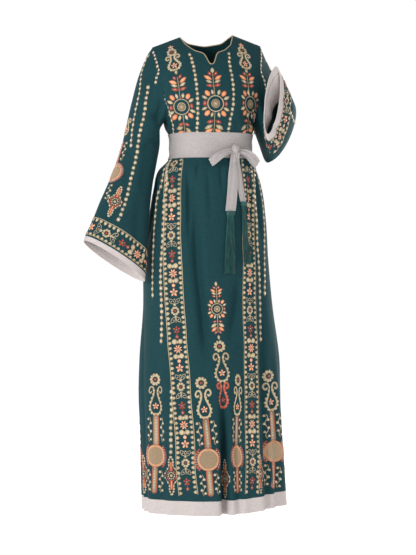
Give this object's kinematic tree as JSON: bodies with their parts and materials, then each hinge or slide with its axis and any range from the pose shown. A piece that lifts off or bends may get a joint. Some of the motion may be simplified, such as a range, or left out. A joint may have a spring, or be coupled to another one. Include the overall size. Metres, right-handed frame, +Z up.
{
  "type": "palestinian thobe dress",
  "caption": "Full-length embroidered dress with wide sleeves, slit neck, contrast hem and cuffs, and a sash belt tied in a bow with tassels, held open as worn.",
  "frame": {"origin": "middle of the neck opening at shoulder height, where the wearer's shoulders hold the dress up", "axes": "+Z up, -Y out of the dress's front, +X to the wearer's left"},
  "size_m": [0.6156, 0.3384, 1.3546],
  "materials": {
    "crepe": "matt crepe",
    "facing": "matt woven",
    "piping": "satin cord",
    "belt_cloth": "matt woven",
    "tassel_thread": "silky thread"
  },
  "bodies": {
    "root": {"front_panel": "crepe", "back_panel": "crepe", "sleeve_right": "crepe", "sleeve_left": "crepe", "cuff_band_right": "facing", "cuff_band_left": "facing", "hem_band_front": "facing", "hem_band_back": "facing", "neck_piping": "piping", "belt": "belt_cloth", "belt_knot": "belt_cloth", "bow_loop_left": "belt_cloth", "bow_loop_right": "belt_cloth", "belt_tail_1": "belt_cloth", "belt_tail_2": "belt_cloth", "tassel_1": "tassel_thread", "tassel_2": "tassel_thread"}
  },
  "joints": []
}
